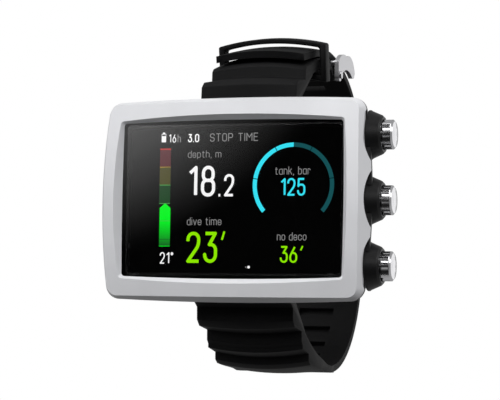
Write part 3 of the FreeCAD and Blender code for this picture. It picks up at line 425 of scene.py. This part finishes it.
def write(name, text, left, right, bottom, top, width, material, gap=0.52):
    """Signs that fill a box on the screen exactly, all sizes in millimetres."""
    strokes, pen = [], 0.0
    for sign in text:
        reach = 0.0
        for path in SIGNS[sign]:
            strokes.append([(corner[0] + pen, *corner[1:]) for corner in path])
            reach = max(reach, max(corner[0] for corner in path))
        pen += (reach if sign != " " else 0.45) + gap
    whole = pen - gap
    across = (right - left - width) / whole
    rise = (top - bottom - width) / 2
    shape = bmesh.new()
    for path in strokes:
        points = [Vector(((left + width / 2 + point.x * across) * MM,
                          (bottom + width / 2 + point.y * rise) * MM))
                  for point in soften(path)]
        pen_line(shape, points, width * MM)
    return screen_piece(name, shape, material)


def glow(name, colour, strength=1.0):
    """A colour given off by itself: the display's own light, and the painted glow of the light
    sensor rings.
    """
    material = bpy.data.materials.new(name)
    material.use_nodes = True
    shader = material.node_tree.nodes["Principled BSDF"]
    shader.inputs["Base Color"].default_value = (0, 0, 0, 1)
    shader.inputs["Roughness"].default_value = 0.6
    shader.inputs["Specular IOR Level"].default_value = 0.0
    shader.inputs["Emission Color"].default_value = (*colour, 1)
    shader.inputs["Emission Strength"].default_value = strength
    return material


LIT_WHITE = glow("lit_white", (1.0, 1.0, 1.0))
LIT_GREY = glow("lit_grey", (0.25, 0.25, 0.25))
LIT_LIME = glow("lit_lime", (0.28, 0.85, 0.0))
LIT_CYAN = glow("lit_cyan", (0.04, 0.80, 0.95))
print("screen at", round(SCREEN / MM, 2), "mm")

# %% [markdown]
# Each line is given the box that it fills, left to right and bottom to top, and its pen
# width. The heading is a plain one.

# %% Words and figures on the display
write("battery_hours", "16", -20.75, -18.3, 17.45, 20.05, .26, LIT_WHITE, gap=.8)
write("battery_hours_unit", "h", -17.85, -16.75, 17.45, 20.05, .28, LIT_GREY)
write("stop_minutes", "3.0", -14.5, -10.85, 17.45, 20.0, .38, LIT_WHITE)
write("heading", "STOP TIME", -7.4, 8.0, 17.55, 20.05, .26, LIT_GREY)
write("depth_word", "depth, m", -14.4, -3.65, 12.72, 15.0, .21, LIT_GREY)
write("depth_whole", "18", -14.4, -5.45, .9, 10.25, 1.02, LIT_WHITE, gap=.62)
write("depth_tenths", ".2", -4.75, .62, .9, 7.65, .78, LIT_WHITE, gap=.62)
write("time_word", "dive time", -14.3, -3.25, -7.75, -5.3, .21, LIT_GREY)
write("time_minutes", "23", -14.35, -4.45, -19.15, -9.75, 1.02, LIT_LIME, gap=.55)
write("time_mark", "'", -3.5, -1.95, -19.0, -9.7, .62, LIT_LIME)
write("tank_word", "tank, bar", 13.35, 24.4, 7.3, 9.8, .21, LIT_GREY)
write("tank_pressure", "125", 14.95, 22.9, .95, 6.25, .60, LIT_CYAN, gap=.55)
write("limit_word", "no deco", 14.3, 23.45, -12.35, -9.85, .21, LIT_GREY)
write("limit_minutes", "36", 15.3, 20.7, -19.0, -14.0, .56, LIT_LIME, gap=.55)
write("limit_mark", "'", 21.35, 22.55, -19.0, -13.95, .45, LIT_LIME)
write("water_warmth", "21*", -22.85, -18.5, -19.45, -15.95, .36, LIT_WHITE)
print("lines written")

# %% [markdown]
# The gauges are plain shapes: a bar of coloured fields with a bright arrow that shows the
# climbing speed, a ring that shows how much gas is left, and a small battery. Each field
# is one flat quad and the ring is a row of thin wedges spun about its middle.

# %% Flat shapes
def lay_flat(x, z, width=1.0, height=1.0):
    """The turn and stretch that lay a unit shape on the screen, sizes in millimetres."""
    lie = Matrix.Translation((x * MM, SCREEN, z * MM)) @ Matrix.Rotation(math.pi / 2, 4, "X")
    return lie @ Matrix.Diagonal((width * MM, height * MM, 1, 1))


def field(name, left, right, bottom, top, material):
    """A plain rectangle on the screen."""
    shape = bmesh.new()
    bmesh.ops.create_grid(shape, x_segments=1, y_segments=1, size=0.5, matrix=lay_flat(
        (left + right) / 2, (bottom + top) / 2, right - left, top - bottom))
    return screen_piece(name, shape, material)


def ring_part(name, middle, radius, width, start, end, material):
    """Part of a flat ring, from one angle to another in degrees."""
    shape = bmesh.new()
    ends = [shape.verts.new((middle[0] * MM + reach * MM, SCREEN, middle[1] * MM))
            for reach in (radius - width / 2, radius + width / 2)]
    edge = shape.edges.new(ends)
    pivot = Vector((middle[0] * MM, SCREEN, middle[1] * MM))
    bmesh.ops.rotate(shape, cent=pivot, verts=ends,
                     matrix=Matrix.Rotation(-math.radians(start), 3, "Y"))
    steps = max(2, round(abs(end - start) / 3))
    bmesh.ops.spin(shape, geom=[*ends, edge], cent=pivot, axis=(0, -1, 0), dvec=(0, 0, 0),
                   angle=math.radians(end - start), steps=steps)
    return screen_piece(name, shape, material)


print("flat shapes ready")

# %% [markdown]
# The bar has three dim fields with a bright line at each change. The arrow below them fades
# downwards, and a colour ramp on the height is enough for that.

# %% Rate bar
LIT_RED = glow("lit_red", (0.72, 0.05, 0.04))
DIM_RED = glow("dim_red", (0.105, 0.024, 0.030))
LIT_AMBER = glow("lit_amber", (0.62, 0.42, 0.04))
DIM_OLIVE = glow("dim_olive", (0.080, 0.075, 0.020))
LIT_GREEN = glow("lit_green", (0.0, 0.95, 0.02))
DIM_GREEN = glow("dim_green", (0.012, 0.062, 0.018))
LINE_GREEN = glow("line_green", (0.07, 0.36, 0.08))
DEEP_GREEN = glow("deep_green", (0.01, 0.09, 0.02))
BAR_LEFT, BAR_RIGHT = -23.4, -19.9
for name, bottom, top, material in (
        ("red_field", 10.0, 15.5, DIM_RED), ("red_line", 15.3, 15.65, LIT_RED),
        ("olive_field", 4.5, 10.0, DIM_OLIVE), ("amber_line", 9.8, 10.1, LIT_AMBER),
        ("green_field", -1.1, 4.5, DIM_GREEN), ("green_line", 4.35, 4.65, LINE_GREEN),
        ("low_line", -1.25, -1.0, LINE_GREEN)):
    field(name, BAR_LEFT, BAR_RIGHT, bottom, top, material)
fading = glow("arrow_green", (0.0, 0.95, 0.02))
fade_tree = fading.node_tree
spot_on = fade_tree.nodes.new("ShaderNodeTexCoord")
height_on = fade_tree.nodes.new("ShaderNodeSeparateXYZ")
by_height = fade_tree.nodes.new("ShaderNodeMapRange")
by_height.inputs["From Min"].default_value = -14.0 * MM
by_height.inputs["From Max"].default_value = -6.0 * MM
shades = fade_tree.nodes.new("ShaderNodeValToRGB")
shades.color_ramp.elements[0].color = (0.01, 0.12, 0.02, 1)
shades.color_ramp.elements[1].color = (0.0, 0.95, 0.02, 1)
fade_tree.links.new(spot_on.outputs["Object"], height_on.inputs["Vector"])
fade_tree.links.new(height_on.outputs["Z"], by_height.inputs["Value"])
fade_tree.links.new(by_height.outputs["Result"], shades.inputs["Fac"])
fade_tree.links.new(shades.outputs["Color"],
                    fade_tree.nodes["Principled BSDF"].inputs["Emission Color"])
arrow = bmesh.new()
bmesh.ops.create_grid(arrow, x_segments=2, y_segments=1, size=0.5,
                      matrix=lay_flat(-21.45, -8.3, 3.5, 11.6))
for vert in arrow.verts:
    if abs(vert.co.x + 21.45 * MM) < MM and vert.co.z > -8 * MM:
        vert.co.z = -1.0 * MM
screen_piece("rate_arrow", arrow, fading)
SCREEN -= LAYER
field("arrow_line", -23.2, -19.7, -6.5, -6.35, LINE_GREEN)
field("lower_line", -23.2, -19.7, -12.1, -11.95, DEEP_GREEN)
field("bottom_line", -23.2, -19.7, -14.2, -14.0, LIT_GREEN)
print("bar from", BAR_LEFT, "to", BAR_RIGHT)

# %% [markdown]
# The ring has a bright part for the gas that is left and a dim part for what is used. Its
# ticks are short dark pieces a hair in front of it, so that the two never flicker.

# %% Gas ring, battery and page dots
DIM_TEAL = glow("dim_teal", (0.008, 0.085, 0.095))
DARK = glow("dark_gap", (0.0, 0.02, 0.025))
RING_MIDDLE, RING_RADIUS = (19.1, 4.25), 12.0
ring_part("gas_left", RING_MIDDLE, RING_RADIUS, 1.3, 90, 221, LIT_CYAN)
ring_part("gas_used", RING_MIDDLE, RING_RADIUS, 1.3, -41, 90, DIM_TEAL)
SCREEN -= LAYER
for turn in (9, 63, 117, 171):
    ring_part(f"ring_gap_{turn}", RING_MIDDLE, RING_RADIUS, 1.3, turn - .6, turn + .6, DARK)
field("battery_fill", -23.0, -21.55, 17.6, 19.5, LIT_WHITE)
field("battery_top", -23.0, -21.55, 20.0, 20.2, LIT_WHITE)
field("battery_left", -23.0, -22.85, 19.5, 20.2, LIT_WHITE)
field("battery_right", -21.7, -21.55, 19.5, 20.2, LIT_WHITE)
field("battery_cap", -22.6, -21.95, 20.2, 20.6, LIT_WHITE)
for name, x, radius, material in (
        ("page_one", 4.75, .22, LIT_GREY), ("page_two", 5.6, .42, LIT_WHITE)):
    dot = bmesh.new()
    bmesh.ops.create_circle(dot, cap_ends=True, segments=20, radius=radius,
                            matrix=lay_flat(x, -20.35))
    screen_piece(name, dot, material)
print("gauges drawn")

# %% [markdown]
# Two round marks sit under the glass at its left edge, where the light sensors look out.
# They are hardly lighter than the black round them, so each is a thin dim ring with a faint painted
# glow, though the sensors themselves give off no light.

# %% Light sensor rings with a painted glow
# painted glow: each sensor ring gives off a faint light of its own, though a sensor is no lamp
SENSOR_RING_PAINTED_GLOW = glow("lens_ring", (0.012, 0.012, 0.013))
for place_name, z in (("upper", 19.6), ("lower", -14.0)):
    ring_part(f"light_sensor_painted_glow_{place_name}", (-33.4, z), .75, .22, 0, 360, SENSOR_RING_PAINTED_GLOW)
print("light sensors at the left edge")

# %% [markdown]
# The strap is moulded rubber. Its ribs and its keeper are not flat across: the middle
# stands proud and the edges fall away, and every edge is rounded. The frame's own strap is
# straight across, so a copy is softened: its flat faces are joined up, its edges rounded,
# it is sliced into narrow bands, and each slice is moved out or in along the line from the
# middle of the wrist. Near the case and the buckle, which hold it flat, the crown fades.

# %% Crown of the strap
WRIST = Vector((0, 0.042, 0.0))
CROWN, HALF_WIDTH = 0.0017, 0.0155
FREE_OF_CASE = (0.030, 0.043)    # heights between which the crown comes in
HELD_BY_BUCKLE = (0.031, 0.039)    # depths between which it goes out again
BAND = 1.5    # width of one slice, in millimetres


def fade_in(value, start, end):
    """0 before start, 1 after end and a smooth rise between them."""
    part = min(1.0, max(0.0, (value - start) / (end - start)))
    return part * part * (3 - 2 * part)


def crown(point):
    """How far a point of the strap moves away from the wrist."""
    free = fade_in(abs(point.z), *FREE_OF_CASE) * (1 - fade_in(point.y, *HELD_BY_BUCKLE))
    return CROWN * free * (0.5 - (point.x / HALF_WIDTH) ** 2)


def soften_piece(node, name, rounding, crowned=True, least=24):
    """A copy of a frame piece with rounded edges and, on the strap, a crown across it."""
    shape = bmesh.new()
    shape.from_mesh(nodes[node].data)
    bmesh.ops.remove_doubles(shape, verts=shape.verts[:], dist=1e-6)
    bmesh.ops.dissolve_limit(shape, angle_limit=math.radians(0.6), verts=shape.verts[:],
                             edges=shape.edges[:])
    sharp = [edge for edge in shape.edges
             if len(edge.link_faces) == 2 and edge.calc_face_angle() > math.radians(least)]
    bmesh.ops.bevel(shape, geom=sharp, offset=rounding, offset_type="OFFSET", segments=2,
                    profile=0.5, affect="EDGES", clamp_overlap=True, material=-1)
    half = max(vert.co.x for vert in shape.verts)
    count = round(half / MM / BAND) if crowned else 0
    for step in range(-count + 1, count):
        bmesh.ops.bisect_plane(shape, geom=shape.verts[:] + shape.edges[:] + shape.faces[:],
                               plane_co=(step * BAND * MM, 0, 0), plane_no=(1, 0, 0), dist=1e-7)
    for vert in shape.verts if crowned else ():
        out = Vector((0, vert.co.y - WRIST.y, vert.co.z - WRIST.z)).normalized()
        vert.co += out * crown(vert.co)
    data = bpy.data.meshes.new(name)
    shape.to_mesh(data)
    shape.free()
    data.shade_smooth()
    data.set_sharp_from_angle(angle=math.radians(28))
    piece = bpy.data.objects.new(name, data)
    piece.data.materials.append(FINISHES[slot_of[node]])
    scene.collection.objects.link(piece)
    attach(piece, nodes[node]["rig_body"])
    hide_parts(node)
    print(name, len(data.polygons), "faces")
    return piece


# %% [markdown]
# The two strap halves take small roundings and the keeper, which is thicker, a larger one.

# %% Soft straps and keeper
soften_piece("upper_strap", "short_strap", 0.0003)
soften_piece("lower_strap", "long_strap", 0.0003)
soften_piece("keeper", "strap_loop", 0.0005)
print("strap softened")

# %% [markdown]
# The white surround is one moulding. On the real one its edges are tight but not sharp, and
# they draw thin bright lines, so it gets narrow rounded edges and no crown. A weighted
# normals modifier keeps its broad faces flat, so that the light turns only on the edges.

# %% White surround with rounded edges
surround = soften_piece("bezel", "white_surround", 0.0003, crowned=False, least=8)
flatten = surround.modifiers.new("flat_faces", "WEIGHTED_NORMAL")
flatten.weight = 100
flatten.keep_sharp = True
print("surround rounded")

# %% [markdown]
# On the real piece each button's spring is pressed shorter as the button goes in. Here each spring
# is a copy of the frame's own in spring steel, fixed to the case at its rest length, and the frame's
# spring is hidden.

# %% Springs
for place_name in ("top", "middle", "bottom"):
    node = f"button_spring_{place_name}"
    data = nodes[node].data.copy()
    spring = bpy.data.objects.new(f"coil_spring_{place_name}", data)
    scene.collection.objects.link(spring)
    spring.data.materials[0] = FINISHES["spring_steel"]
    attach(spring, "case")
    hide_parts(node)
    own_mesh(spring)
